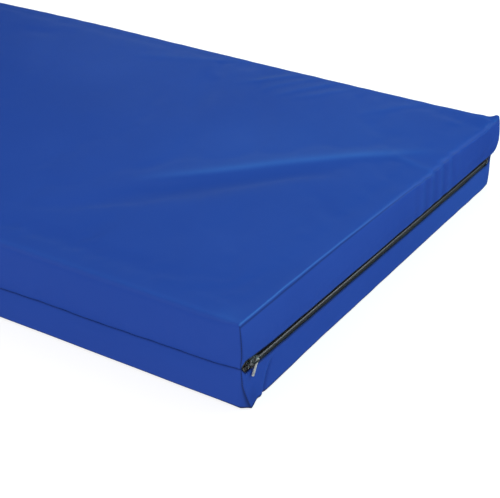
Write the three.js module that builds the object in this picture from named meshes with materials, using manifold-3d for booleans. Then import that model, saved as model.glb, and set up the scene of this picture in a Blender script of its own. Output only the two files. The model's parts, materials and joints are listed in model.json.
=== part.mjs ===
// A 6 ft x 3 ft x 6 in crash landing mat: a two-layer foam core in a coated-vinyl cover that unzips across one end.
// Millimetres, +Z up. The origin is the middle of the underside, +X points at the zipped end.
import * as THREE from "three";
import { mergeVertices } from "three/addons/utils/BufferGeometryUtils.js";
import Module from "manifold-3d";

const wasm = await Module();
wasm.setup();

// The mat
const LENGTH = 1830;
const WIDTH = 915;
const THICKNESS = 150;
const SHEET = 1; // coated vinyl, backing included
const EDGE_RADIUS = 8; // where the sheet wraps over the top and bottom edges
const CORNER_RADIUS = 10; // at the four upright corner seams
const SEAM_HEIGHT = 67.5; // where the upper and lower covers are sewn together
const SEAM_GAP = 0.4; // between the two covers, and the two turned-in allowances
const ALLOWANCE = 12; // the seam allowance turned in behind the seam
const THREAD_RADIUS = 0.4;

// The foam core
const FOAM_CLEARANCE = 0.5; // to the cover all round
const FOAM_CORNER_RADIUS = 16;
const BASE_TOP = 101; // where the soft slab ends and the firmer layer starts
const GLUE_GAP = 0.3;
const SEAM_GROOVE_DEPTH = ALLOWANCE + 3.5;
const SEAM_GROOVE_HALF = 2.8;

// The zip, a number 10 coil, across the +X end. It runs along Y and falls a little towards +Y.
const ZIP_NEAR_HEIGHT = 71;
const ZIP_FAR_HEIGHT = 60.5;
const ZIP_MARGIN = 12; // from each upright corner to the end of the slot
const SLOT_HALF = 9; // from the middle of the chain to the edge of the cover's lip
const TAPE = { inner: 1.2, outer: 19, back: -2.1, front: -1.3 };
const COIL = { inner: 1.2, outer: 5.2, back: -1, front: 2.2, round: 1.1 };
const STOP = { inner: 1, outer: 5.6, back: -1, front: 2.5, length: 3 };
const TACK = { half: 8.2, back: -1, front: -0.3, length: 2 };
const TACK_INSET = 1.5; // from the end of the slot to the bar tack
const STOP_INSET = 5; // from the end of the slot to the stop
const END_GAP = 0.3; // between a stop and the coil it holds
const STITCH_LINE = 12; // of the thread that holds each tape, from the middle of the chain
const STITCH_STAND_OFF = 0.7;

// The slider, its front towards -Y, the end where the zip closes
const SLIDER_FROM_CORNER = 35;
const SLIDER_HALF_LENGTH = 12;
const SLIDER = { back: -4.1, front: 4.2, frontHalf: 7.6, rearHalf: 6.9, snout: 4.2 };
const CHANNEL = { half: 5.7, back: -2.6, front: 2.7 };
const TAPE_SLOT_FRONT = -0.8;
const POST = { half: 0.8, from: -11, to: -5 };
const BRIDGE = { legs: 5, leg: 2, half: 1.1, underside: 6.3, top: 7.8, round: 1.2 };
const PULL = { back: 4.6, front: 5.8, length: 26, ring: 4.2, eye: 1.9, eyeDrop: 1.6 };
const PULL_WAIST = { half: 2.5, drop: 6.5 };
const PULL_END = { half: 3.5, round: 2, hole: 1.5, holeDrop: 21.5 };
const PULL_LEAN_DEG = 32; // the tab rests on the cover, leaning towards -Y

const END_X = LENGTH / 2;
const SIDE_Y = WIDTH / 2;
const ALL = 2 * LENGTH; // longer than anything, for cutting boxes
const AXIS_X = new THREE.Vector3(1, 0, 0);
const AXIS_Y = new THREE.Vector3(0, 1, 0);
const AXIS_Z = new THREE.Vector3(0, 0, 1);
// An outline drawn in (y, z) is extruded along X, one in (z, x) along Y, and one in (y, x) along -Z.
const ALONG_X = new THREE.Matrix4().makeBasis(AXIS_Y, AXIS_Z, AXIS_X);
const ALONG_Y = new THREE.Matrix4().makeBasis(AXIS_Z, AXIS_X, AXIS_Y);
const ALONG_MINUS_Z = new THREE.Matrix4().makeBasis(AXIS_Y, AXIS_X, AXIS_Z.clone().negate());

const VINYL = { color: 0x2c52a2, roughness: 0.42, metalness: 0 };
const FOAM = { color: 0xe8dfc0, roughness: 0.95, metalness: 0 };
const FIRM_FOAM = { color: 0xd2d6da, roughness: 0.9, metalness: 0 };
const TAPE_WEAVE = { color: 0x17171b, roughness: 0.85, metalness: 0 };
const NYLON = { color: 0x2a2a30, roughness: 0.45, metalness: 0 };
const STEEL = { color: 0x8d8f94, roughness: 0.28, metalness: 1 };
const BLUE_THREAD = { color: 0x24448c, roughness: 0.7, metalness: 0 };
const BLACK_THREAD = { color: 0x1b1b22, roughness: 0.7, metalness: 0 };

// ---- Shapes ----

function solidOf(geometry) {
  const bare = new THREE.BufferGeometry();
  bare.setAttribute("position", geometry.getAttribute("position"));
  bare.setIndex(geometry.index);
  const merged = mergeVertices(bare, 1e-4);
  return new wasm.Manifold(
    new wasm.Mesh({
      numProp: 3,
      vertProperties: merged.attributes.position.array,
      triVerts: new Uint32Array(merged.index.array),
    }),
  );
}

function geometryOf(solid) {
  const cut = solid.getMesh();
  const geometry = new THREE.BufferGeometry();
  geometry.setAttribute("position", new THREE.BufferAttribute(cut.vertProperties.slice(), 3));
  geometry.setIndex(new THREE.BufferAttribute(cut.triVerts.slice(), 1));
  geometry.computeVertexNormals();
  return geometry;
}

function box([x0, x1], [y0, y1], [z0, z1]) {
  const geometry = new THREE.BoxGeometry(x1 - x0, y1 - y0, z1 - z0);
  return geometry.translate((x0 + x1) / 2, (y0 + y1) / 2, (z0 + z1) / 2);
}

function roundedRectangle([x0, x1], [y0, y1], r) {
  const shape = new THREE.Shape();
  shape.absarc(x1 - r, y1 - r, r, 0, Math.PI / 2);
  shape.absarc(x0 + r, y1 - r, r, Math.PI / 2, Math.PI);
  shape.absarc(x0 + r, y0 + r, r, Math.PI, 1.5 * Math.PI);
  shape.absarc(x1 - r, y0 + r, r, 1.5 * Math.PI, 2 * Math.PI);
  return shape;
}

// The mat's outer form moved inwards by inset: a slab with round upright corners and round edges.
function slab(inset, cornerRadius, edgeRadius) {
  const x = END_X - inset - edgeRadius;
  const y = SIDE_Y - inset - edgeRadius;
  const outline = roundedRectangle([-x, x], [-y, y], cornerRadius - edgeRadius);
  const geometry = new THREE.ExtrudeGeometry(outline, {
    depth: THICKNESS - 2 * inset - 2 * edgeRadius,
    bevelThickness: edgeRadius,
    bevelSize: edgeRadius,
    bevelSegments: 3,
    curveSegments: 4,
  });
  return geometry.translate(0, 0, inset + edgeRadius);
}

function extrudeAlong(basis, outline, from, to, curveSegments = 6) {
  const geometry = new THREE.ExtrudeGeometry(outline, {
    depth: to - from,
    bevelEnabled: false,
    curveSegments,
  });
  return geometry.translate(0, 0, from).applyMatrix4(basis);
}

function rodBetween(from, to) {
  const reach = new THREE.Vector3().subVectors(to, from);
  const geometry = new THREE.CylinderGeometry(THREAD_RADIUS, THREAD_RADIUS, reach.length(), 6);
  const turn = new THREE.Quaternion().setFromUnitVectors(AXIS_Y, reach.normalize());
  const middle = new THREE.Vector3().addVectors(from, to).multiplyScalar(0.5);
  return geometry.applyQuaternion(turn).translate(middle.x, middle.y, middle.z);
}

function piece(parent, name, geometry, finish) {
  const mesh = new THREE.Mesh(geometry, new THREE.MeshStandardMaterial(finish));
  mesh.name = name;
  parent.add(mesh);
  return mesh;
}

// ---- The mat and the tilted frame of the zip ----

const mat = new THREE.Group();
mat.name = "crash_landing_mat";

// In this frame Y runs along the chain, Z is up the end panel and x = 0 is the cover's outer face.
const zip = new THREE.Group();
zip.position.set(END_X, 0, (ZIP_NEAR_HEIGHT + ZIP_FAR_HEIGHT) / 2);
zip.rotation.x = -Math.atan2(ZIP_NEAR_HEIGHT - ZIP_FAR_HEIGHT, WIDTH);
zip.updateMatrix();
mat.add(zip);
const SLOT_END = SIDE_Y - ZIP_MARGIN;

function inZipFrame(x, y, z) {
  return solidOf(box(x, y, z).applyMatrix4(zip.matrix));
}

// ---- Covers ----

// A turned-in strip behind the seam on the two long sides and the back end.
function allowance(z0, z1) {
  const ring = solidOf(slab(SHEET / 2, CORNER_RADIUS - SHEET / 2, EDGE_RADIUS - SHEET / 2));
  const depth = SHEET + ALLOWANCE;
  const keep = solidOf(box([-ALL, END_X - 30], [-ALL, ALL], [z0, z1]));
  const middle = solidOf(box([depth - END_X, ALL], [depth - SIDE_Y, SIDE_Y - depth], [-ALL, ALL]));
  return ring.intersect(keep).subtract(middle);
}

const shell = solidOf(slab(0, CORNER_RADIUS, EDGE_RADIUS)).subtract(
  solidOf(slab(SHEET, CORNER_RADIUS - SHEET, EDGE_RADIUS - SHEET)),
);
const slot = inZipFrame([-6, 6], [-SLOT_END, SLOT_END], [-SLOT_HALF, SLOT_HALF]);
const seamTop = SEAM_HEIGHT + SEAM_GAP / 2;
const seamBottom = SEAM_HEIGHT - SEAM_GAP / 2;
const above = solidOf(box([-ALL, ALL], [-ALL, ALL], [seamTop, ALL]));
const below = solidOf(box([-ALL, ALL], [-ALL, ALL], [-ALL, seamBottom]));
const upperCover = shell.intersect(above).subtract(slot).add(allowance(seamTop, seamTop + SHEET));
const lowerCover = shell.intersect(below).subtract(slot).add(allowance(seamBottom - SHEET, seamBottom));
piece(mat, "upper_cover", geometryOf(upperCover), VINYL);
piece(mat, "lower_cover", geometryOf(lowerCover), VINYL);

// ---- Foam core ----

const foam = solidOf(slab(SHEET + FOAM_CLEARANCE, FOAM_CORNER_RADIUS, EDGE_RADIUS - SHEET));
const grooveZ = [SEAM_HEIGHT - SEAM_GROOVE_HALF, SEAM_HEIGHT + SEAM_GROOVE_HALF];
const grooveX = SEAM_GROOVE_DEPTH - END_X;
const grooveY = SIDE_Y - SEAM_GROOVE_DEPTH;
const seamGroove = solidOf(box([-ALL, END_X - 28], [-ALL, ALL], grooveZ)).subtract(
  solidOf(box([grooveX, ALL], [-grooveY, grooveY], [-ALL, ALL])),
);
const zipRebate = inZipFrame([-10, 6], [4 - SIDE_Y, SIDE_Y - 4], [-22, 22]);
const baseZone = solidOf(box([-ALL, ALL], [-ALL, ALL], [-ALL, BASE_TOP - GLUE_GAP / 2]));
const topZone = solidOf(box([-ALL, ALL], [-ALL, ALL], [BASE_TOP + GLUE_GAP / 2, ALL]));
const foamBase = foam.intersect(baseZone).subtract(seamGroove).subtract(zipRebate);
piece(mat, "foam_base", geometryOf(foamBase), FOAM);
piece(mat, "foam_top_layer", geometryOf(foam.intersect(topZone)), FIRM_FOAM);

// ---- Threads of the cover's seams ----

// The needle row lies on the upper allowance, two thirds of the way in.
const rowHeight = seamTop + SHEET + THREAD_RADIUS + 0.3;
const rowInset = SHEET + (2 * ALLOWANCE) / 3;
const rowX = [rowInset - END_X, END_X - 32];
for (const [name, side] of [["near", -1], ["far", 1]]) {
  const y = side * (SIDE_Y - rowInset);
  const from = new THREE.Vector3(rowX[0] + 2, y, rowHeight);
  const to = new THREE.Vector3(rowX[1], y, rowHeight);
  piece(mat, `seam_thread_${name}_side`, rodBetween(from, to), BLUE_THREAD);
}
const backFrom = new THREE.Vector3(rowX[0], rowInset - SIDE_Y, rowHeight);
const backTo = new THREE.Vector3(rowX[0], SIDE_Y - rowInset, rowHeight);
piece(mat, "seam_thread_back_end", rodBetween(backFrom, backTo), BLUE_THREAD);

// Each upright corner seam has one thread above the mid-height seam and one below it, inside the corner.
const threadInset = 4.9;
const threadEnds = {
  upper: [SEAM_HEIGHT + 4, THICKNESS - 12],
  lower: [12, SEAM_HEIGHT - 4],
};
for (const [end, signX] of [["zip", 1], ["back", -1]]) {
  for (const [side, signY] of [["near", -1], ["far", 1]]) {
    for (const [half, [z0, z1]] of Object.entries(threadEnds)) {
      const x = signX * (END_X - threadInset);
      const y = signY * (SIDE_Y - threadInset);
      const thread = rodBetween(new THREE.Vector3(x, y, z0), new THREE.Vector3(x, y, z1));
      piece(mat, `corner_thread_${end}_${side}_${half}`, thread, BLUE_THREAD);
    }
  }
}

// ---- The zip's fixed pieces ----

const stopNear = -SLOT_END + STOP_INSET;
const stopFar = SLOT_END - STOP_INSET - STOP.length;
for (const [half, sign] of [["upper", 1], ["lower", -1]]) {
  const across = (a, b) => (sign > 0 ? [a, b] : [-b, -a]);
  const tapeZ = across(TAPE.inner, TAPE.outer);
  const tape = box([TAPE.back, TAPE.front], [-SLOT_END - 1, SLOT_END + 1], tapeZ);
  piece(zip, `zipper_tape_${half}`, tape, TAPE_WEAVE);

  const section = roundedRectangle(across(COIL.inner, COIL.outer), [COIL.back, COIL.front], COIL.round);
  const coilFrom = stopNear + STOP.length + END_GAP;
  const coil = extrudeAlong(ALONG_Y, section, coilFrom, stopFar - END_GAP, 3);
  piece(zip, `zipper_coil_${half}`, coil, NYLON);

  const stopSize = [STOP.back, STOP.front];
  const stop = box(stopSize, [stopNear, stopNear + STOP.length], across(STOP.inner, STOP.outer));
  piece(zip, `top_stop_${half}`, stop, STEEL);

  const row = [STITCH_STAND_OFF, sign * STITCH_LINE];
  const stitchFrom = new THREE.Vector3(row[0], 2 - SLOT_END, row[1]);
  const stitchTo = new THREE.Vector3(row[0], SLOT_END - 2, row[1]);
  piece(zip, `zip_stitch_${half}`, rodBetween(stitchFrom, stitchTo), BLACK_THREAD);
}
const bottomStop = box(
  [STOP.back, STOP.front],
  [stopFar, stopFar + STOP.length],
  [-STOP.outer, STOP.outer],
);
piece(zip, "bottom_stop", bottomStop, STEEL);
for (const [name, start] of [["near", -SLOT_END + TACK_INSET], ["far", SLOT_END - TACK_INSET - TACK.length]]) {
  const tack = box([TACK.back, TACK.front], [start, start + TACK.length], [-TACK.half, TACK.half]);
  piece(zip, `bar_tack_${name}`, tack, BLACK_THREAD);
}

// ---- Slider and pull ----

function sliderOutline() {
  const { frontHalf, rearHalf, snout } = SLIDER;
  const end = SLIDER_HALF_LENGTH;
  const shape = new THREE.Shape();
  shape.moveTo(-end, -snout);
  shape.quadraticCurveTo(-end, -frontHalf, 3 - end, -frontHalf);
  shape.lineTo(-1, -frontHalf);
  shape.quadraticCurveTo(end / 2, -rearHalf, end - 2, -rearHalf);
  shape.quadraticCurveTo(end, -rearHalf, end, 2 - rearHalf);
  shape.lineTo(end, rearHalf - 2);
  shape.quadraticCurveTo(end, rearHalf, end - 2, rearHalf);
  shape.quadraticCurveTo(end / 2, rearHalf, -1, frontHalf);
  shape.lineTo(3 - end, frontHalf);
  shape.quadraticCurveTo(-end, frontHalf, -end, snout);
  return shape;
}

// The bridge is a low arch over the slider's face, with a square leg at each end.
function bridgeOutline() {
  const outer = BRIDGE.legs + BRIDGE.leg / 2;
  const inner = BRIDGE.legs - BRIDGE.leg / 2;
  const root = SLIDER.front - 0.5;
  const shape = new THREE.Shape();
  shape.moveTo(-outer, root);
  shape.lineTo(-inner, root);
  shape.lineTo(-inner, BRIDGE.underside);
  shape.lineTo(inner, BRIDGE.underside);
  shape.lineTo(inner, root);
  shape.lineTo(outer, root);
  shape.lineTo(outer, BRIDGE.top - BRIDGE.round);
  shape.absarc(outer - BRIDGE.round, BRIDGE.top - BRIDGE.round, BRIDGE.round, 0, Math.PI / 2);
  shape.absarc(BRIDGE.round - outer, BRIDGE.top - BRIDGE.round, BRIDGE.round, Math.PI / 2, Math.PI);
  return shape;
}

function sliderBody() {
  const block = solidOf(extrudeAlong(ALONG_X, sliderOutline(), SLIDER.back, SLIDER.front, 4));
  const channel = box([CHANNEL.back, CHANNEL.front], [-20, 20], [-CHANNEL.half, CHANNEL.half]);
  const tapeSlot = box([CHANNEL.back, TAPE_SLOT_FRONT], [-20, 20], [-20, 20]);
  const post = box([CHANNEL.back - 0.5, CHANNEL.front + 0.5], [POST.from, POST.to], [-POST.half, POST.half]);
  const bridge = extrudeAlong(ALONG_MINUS_Z, bridgeOutline(), -BRIDGE.half, BRIDGE.half, 4);
  return geometryOf(
    block.subtract(solidOf(channel)).subtract(solidOf(tapeSlot)).add(solidOf(post)).add(solidOf(bridge)),
  );
}

// A flat tab hanging from its eye. (0, 0) is the middle of the bridge's leg, and the outline is in (y, z).
function pullOutline() {
  const { half, round } = PULL_END;
  const foot = -PULL.length;
  const shape = new THREE.Shape();
  shape.absarc(0, 0, PULL.ring, -0.25 * Math.PI, 1.25 * Math.PI);
  shape.quadraticCurveTo(-PULL_WAIST.half, -4.5, -PULL_WAIST.half, -PULL_WAIST.drop);
  shape.lineTo(-half, foot + 3 * round);
  shape.lineTo(-half, foot + round);
  shape.quadraticCurveTo(-half, foot, round - half, foot);
  shape.lineTo(half - round, foot);
  shape.quadraticCurveTo(half, foot, half, foot + round);
  shape.lineTo(half, foot + 3 * round);
  shape.lineTo(PULL_WAIST.half, -PULL_WAIST.drop);
  shape.quadraticCurveTo(PULL_WAIST.half, -4.5, PULL.ring * Math.SQRT1_2, -PULL.ring * Math.SQRT1_2);
  const eye = new THREE.Path();
  eye.absarc(0, 0, PULL.eye, 0, Math.PI);
  eye.absarc(0, -PULL.eyeDrop, PULL.eye, Math.PI, 2 * Math.PI);
  const hole = new THREE.Path();
  hole.absarc(0, -PULL_END.holeDrop, PULL_END.hole, 0, 2 * Math.PI);
  shape.holes.push(eye, hole);
  return shape;
}

const slider = new THREE.Group();
slider.position.y = SLIDER_FROM_CORNER - SIDE_Y;
zip.add(slider);
piece(slider, "slider_body", sliderBody(), STEEL);

// The tab hangs on the rear leg, which is the one that the hand pulls on to open the zip.
const pull = new THREE.Group();
pull.position.y = BRIDGE.legs;
pull.rotation.x = -THREE.MathUtils.degToRad(PULL_LEAN_DEG);
slider.add(pull);
piece(pull, "pull_tab", extrudeAlong(ALONG_X, pullOutline(), PULL.back, PULL.front), STEEL);

export default mat;
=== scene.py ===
import json
import math

import bpy
import numpy as np
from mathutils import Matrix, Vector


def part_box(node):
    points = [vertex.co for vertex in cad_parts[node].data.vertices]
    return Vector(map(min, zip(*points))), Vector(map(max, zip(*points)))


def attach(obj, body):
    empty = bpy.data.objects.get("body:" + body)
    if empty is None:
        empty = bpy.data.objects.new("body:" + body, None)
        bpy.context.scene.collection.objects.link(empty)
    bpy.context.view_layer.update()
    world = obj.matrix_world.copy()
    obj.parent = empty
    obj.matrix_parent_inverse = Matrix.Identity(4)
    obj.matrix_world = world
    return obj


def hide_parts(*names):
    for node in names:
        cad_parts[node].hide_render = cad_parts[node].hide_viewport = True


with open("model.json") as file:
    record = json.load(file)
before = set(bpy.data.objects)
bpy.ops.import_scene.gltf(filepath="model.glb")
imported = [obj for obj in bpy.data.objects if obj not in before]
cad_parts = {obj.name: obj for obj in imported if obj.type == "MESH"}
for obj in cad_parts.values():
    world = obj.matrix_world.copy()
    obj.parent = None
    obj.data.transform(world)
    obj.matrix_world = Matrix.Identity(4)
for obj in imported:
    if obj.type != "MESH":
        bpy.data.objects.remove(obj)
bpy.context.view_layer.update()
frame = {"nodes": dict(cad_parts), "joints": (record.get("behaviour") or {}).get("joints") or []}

bl_info = {
    "name": "Crash Landing Mat",
    "version": (1, 0, 0),
    "blender": (4, 5, 0),
    "location": "View3D > Sidebar > Landing Mat",
    "description": "Builds a zipped, vinyl-covered foam crash landing mat around its CAD frame",
    "category": "Add Mesh",
}

# The frame's own measures, in metres.
COVER_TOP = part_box("upper_cover")[1].z
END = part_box("lower_cover")[1].x
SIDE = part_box("lower_cover")[1].y
TRAVEL = next(j for j in frame["joints"] if j["name"] == "slider_slide")["axis"]
ZIP_FALL = TRAVEL[2] / TRAVEL[1]
ZIP_MIDDLE = (
    sum(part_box(n)[k].z for n in ("zipper_coil_upper", "zipper_coil_lower") for k in (0, 1))
    / 4
)
MM = 0.001
SKIRT = {"upper": 0.0825, "lower": 0.0675}  # each cover's height from its fold to the seam
ALLOWANCE = 0.012  # the strip turned in behind the seam
SEAM_THREAD = 0.00028
HEM_THREAD = 0.0003
TACK_THREAD = 0.00022
SETTLE_FRAMES = 9
SETTLE_CAP = 0.0016


# ---------------------------------------------------------------- properties


def length(name, description, default, low, high):
    """A size in metres, with its limits."""
    return bpy.props.FloatProperty(
        name=name, description=description, default=default, min=low, max=high,
        unit="LENGTH", subtype="DISTANCE",
    )


def colour(name, description, default):
    """A scene linear colour."""
    return bpy.props.FloatVectorProperty(
        name=name, description=description, default=default,
        size=3, subtype="COLOR", min=0, max=1,
    )


class LANDINGMAT_PG_sizes(bpy.types.PropertyGroup):
    """Sizes of the cover, the seams and the zip."""

    sheet: length("Sheet thickness", "Thickness of the coated vinyl", 0.0009, 0.0003, 0.003)
    long_edge: length(
        "Long edge radius", "How softly the sheet wraps over the long edges", 0.011, 0.003, 0.03
    )
    crisp_edge: length(
        "Crisp edge radius", "Radius of the folded end near its tight corner", 0.0035, 0.002, 0.02
    )
    slack_edge: length(
        "Slack edge radius", "Radius of the folded end near its slack corner", 0.011, 0.002, 0.03
    )
    corner: length("Corner radius", "Radius of the upright sewn corners", 0.0045, 0.002, 0.02)
    slot_half: length(
        "Zip slot", "Half the gap between the two hemmed lips of the zip", 0.009, 0.0085, 0.014
    )
    stitch_pitch: length("Stitch pitch", "Distance from one stitch to the next", 0.0042, 0.002, 0.01)
    coil_pitch: length(
        "Coil pitch", "Distance from one turn of the zip's coil to the next", 0.00142, 0.001, 0.003
    )


class LANDINGMAT_PG_colours(bpy.types.PropertyGroup):
    """Colours of the finishes, scene linear."""

    vinyl: colour("Vinyl", "Coated cover sheet", (0.0135, 0.0605, 0.374))
    tape: colour("Zip tape", "Woven tape of the zip, and the black thread", (0.018, 0.018, 0.018))
    coil: colour("Zip coil", "Nylon coil of the zip", (0.020, 0.020, 0.022))
    steel: colour("Pull tab", "Bright steel of the pull tab", (0.80, 0.80, 0.80))
    gunmetal: colour("Slider and stops", "Darkened zinc of the slider and stops", (0.07, 0.07, 0.074))
    thread: colour("Cover thread", "Thread of the cover's seams", (0.014, 0.045, 0.22))
    foam_soft: colour("Soft foam", "Thick lower slab of the core", (0.62, 0.60, 0.52))
    foam_firm: colour("Firm foam", "Thin upper slab of the core", (0.22, 0.23, 0.24))


# ------------------------------------------------------------------ meshes


def sizes():
    """The sizes that the panel shows."""
    return bpy.context.scene.landing_mat_sizes


def colours():
    """The colours that the panel shows."""
    return bpy.context.scene.landing_mat_colours


def smoothstep(low, high, value):
    """0 below low, 1 above high, and 3t^2 - 2t^3 between, where t is the share of the way."""
    t = np.clip((np.asarray(value, float) - low) / (high - low), 0, 1)
    return t * t * (3 - 2 * t)


def bell(value, width):
    """exp(-(value / width)^2)."""
    return np.exp(-((np.asarray(value, float) / width) ** 2))


def fading(distance, reach):
    """exp(-distance / reach), and 1 where the distance is negative."""
    return np.exp(-np.clip(distance, 0, None) / reach)


def new_piece(name, points, faces, material, layers=None):
    """A smooth-shaded mesh object from an (n, 3) array of points and a list of (m, 3) or (m, 4) arrays of
    faces, with point attributes from layers."""
    mesh = bpy.data.meshes.new(name)
    points = np.ascontiguousarray(points, np.float32).reshape(-1, 3)
    faces = [np.asarray(f, np.int32) for f in faces if len(f)]
    corners = np.concatenate([f.ravel() for f in faces])
    counts = np.concatenate([np.full(len(f), f.shape[1], np.int32) for f in faces])
    mesh.vertices.add(len(points))
    mesh.vertices.foreach_set("co", points.ravel())
    mesh.loops.add(len(corners))
    mesh.loops.foreach_set("vertex_index", corners)
    mesh.polygons.add(len(counts))
    starts = np.concatenate([[0], np.cumsum(counts)[:-1]]).astype(np.int32)
    mesh.polygons.foreach_set("loop_start", starts)
    mesh.polygons.foreach_set("use_smooth", np.ones(len(counts), bool))
    mesh.update(calc_edges=True)
    mesh.validate()
    for layer, values in (layers or {}).items():
        kind, field = ("FLOAT", "value") if np.ndim(values) == 1 else ("FLOAT_VECTOR", "vector")
        data = mesh.attributes.new(layer, kind, "POINT").data
        data.foreach_set(field, np.ascontiguousarray(values, np.float32).ravel())
    mesh.materials.append(material)
    piece = bpy.data.objects.new(name, mesh)
    bpy.context.scene.collection.objects.link(piece)
    return piece


def lattice_faces(rows, columns, wrap=False, flip=False, first=0):
    """Quads of a grid of rows x columns points numbered row by row from first. With wrap, the last column
    joins the first."""
    r = np.arange(rows - 1)[:, None]
    c = np.arange(columns if wrap else columns - 1)[None, :]
    after = (c + 1) % columns
    quads = np.stack(
        [r * columns + c, r * columns + after, (r + 1) * columns + after, (r + 1) * columns + c],
        axis=-1,
    ).reshape(-1, 4) + first
    return quads[:, ::-1] if flip else quads


def grid_lines(half, rim, step, fine=None):
    """Grid lines from -half to half: the rim's distances in from both ends, and even steps of about step
    between them; fine is (reach, step) for a closer stretch at the low end."""
    inner = half - rim[-1]
    begin, close = -inner, []
    if fine:
        begin = -half + fine[0]
        close = np.linspace(-inner, begin, int(round((begin + inner) / fine[1])) + 1)[:-1]
    middle = np.linspace(begin, inner, int(round((inner - begin) / step)) + 1)
    return np.concatenate([-half + rim[:-1], close, middle, (half - rim[:-1])[::-1]])


def frames_along(path):
    """Unit tangents of an (n, 3) path, from the differences of its points."""
    along = np.gradient(path, axis=0)
    return along / np.linalg.norm(along, axis=1)[:, None]


def evenly(path, pitch):
    """Points about pitch apart along an (n, 3) path, by its running length."""
    steps = np.linalg.norm(np.diff(path, axis=0), axis=1)
    run = np.concatenate([[0], np.cumsum(steps)])
    at = np.linspace(0, run[-1], max(2, int(round(run[-1] / pitch)) + 1))
    return np.stack([np.interp(at, run, path[:, k]) for k in range(3)], axis=1)


def strew(shape, faces, places, along, out):
    """Copies of a small shape, its x along the row, its z outwards: place + x along + y (out x along) + z
    out, for every place at once."""
    across = np.cross(out, along)
    points = (
        places[:, None]
        + shape[None, :, 0:1] * along[:, None]
        + shape[None, :, 1:2] * across[:, None]
        + shape[None, :, 2:3] * out[:, None]
    ).reshape(-1, 3)
    shift = (np.arange(len(places)) * len(shape))[:, None, None]
    return points, [(f[None] + shift).reshape(-1, f.shape[1]) for f in faces]


def stitch_shape(length, radius, rise, sides=6, rings=5):
    """One stitch: a thin tube whose middle follows an arc, z = rise (1 - u^2) - dip, for u from -1 to 1,
    with its two ends drawn to a point below the sheet."""
    u = np.linspace(-1, 1, rings)
    turn = np.linspace(0, 2 * math.pi, sides, endpoint=False)
    girth = radius * np.sqrt(np.clip(1.06 - u**2, 0.05, 1))
    x = np.repeat(u * length / 2, sides)
    y = (girth[:, None] * np.cos(turn)).ravel()
    z = (girth[:, None] * np.sin(turn) + (rise * (1 - u**2) - radius * 0.9 * u**4)[:, None]).ravel()
    tube = lattice_faces(rings, sides, wrap=True)
    first, last = np.arange(sides)[None], (np.arange(sides) + (rings - 1) * sides)[None]
    return np.stack([x, y, z], axis=1), [tube[:, ::-1], first, last[:, ::-1]]


def stitch_row(name, paths, outs, pitch, radius, material, gap=0.25):
    """Stitches of one row after another: each path is cut at even steps, and a stitch lies on each step,
    leaving gap of the pitch bare."""
    points, faces, count = [], [], 0
    shape, shape_faces = stitch_shape(pitch * (1 - gap), radius, radius * 0.9)
    for path, out in zip(paths, outs):
        at = evenly(path, pitch)
        along = frames_along(at)
        if np.ndim(out) == 1:
            out = np.tile(out, (len(at), 1))
        else:
            given, wanted = np.linspace(0, 1, len(out)), np.linspace(0, 1, len(at))
            out = np.stack([np.interp(wanted, given, out[:, k]) for k in range(3)], axis=1)
        out = out - (out * along).sum(1)[:, None] * along
        out /= np.linalg.norm(out, axis=1)[:, None]
        p, f = strew(shape, shape_faces, at, along, out)
        points.append(p)
        faces.append([x + count for x in f])
        count += len(p)
    merged = [np.concatenate([f[k] for f in faces]) for k in range(len(shape_faces))]
    return new_piece(name, np.concatenate(points), merged, material)


def ride(piece, body, slot, *nodes):
    """Puts a piece on its body, with the CAD nodes that it stands for hidden. Its finish's slot is not used.
    """
    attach(piece, body)
    if nodes:
        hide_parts(*nodes)
    return piece


# ------------------------------------------------------------- cover's shape


def soft_waves(x, y, length, seed, count=7):
    """Smooth unevenness between about -1 and 1: a sum of sines whose directions, lengths near the given one
    and phases come from a seed."""
    draw = np.random.RandomState(seed)
    total = np.zeros(np.broadcast(x, y).shape)
    for turn, phase, scale in zip(
        draw.uniform(0, math.pi, count), draw.uniform(0, 2 * math.pi, count), draw.uniform(0.7, 1.6, count)
    ):
        k = 2 * math.pi / (length * scale)
        total += np.sin(k * (x * math.cos(turn) + y * math.sin(turn)) + phase)
    return total / math.sqrt(count) / 1.4


def rounded(line, passes=3):
    """A line of points with its corners cut off (Chaikin): each stretch gives the points a quarter and
    three quarters along it."""
    line = np.array(line, float)
    for _ in range(passes if len(line) > 2 else 0):
        a, b = line[:-1], line[1:]
        cut = np.stack([0.75 * a + 0.25 * b, 0.25 * a + 0.75 * b], axis=1).reshape(-1, 2)
        line = np.concatenate([line[:1], cut, line[-1:]])
    return line


def from_line(x, y, line):
    """Distance to a line of points, the signed side of it, and the share of the way along it, from the
    nearest of its straight stretches."""
    line = rounded(line)
    best = np.full(np.broadcast(x, y).shape, 1e9)
    side = np.zeros_like(best)
    share = np.zeros_like(best)
    count = len(line) - 1
    for k, ((ax, ay), (bx, by)) in enumerate(zip(line[:-1], line[1:])):
        dx, dy = bx - ax, by - ay
        t = np.clip(((x - ax) * dx + (y - ay) * dy) / (dx * dx + dy * dy), 0, 1)
        px, py = x - ax - t * dx, y - ay - t * dy
        far = np.hypot(px, py)
        near = far < best
        side = np.where(near, (dx * py - dy * px) / math.hypot(dx, dy), side)
        share = np.where(near, (k + t) / count, share)
        best = np.where(near, far, best)
    return best, side, share


def crease(x, y, line, width, height, lean):
    """A fold along a line: height times a bell of the distance over width, fading in and out at its ends,
    steeper on the side that lean names."""
    far, side, share = from_line(x, y, line)
    w = width * (1 + lean * np.tanh(side / width))
    fade = smoothstep(0.0, 0.4, share) * smoothstep(0.0, 0.3, 1 - share)
    return height * bell(far, w) * fade
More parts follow.
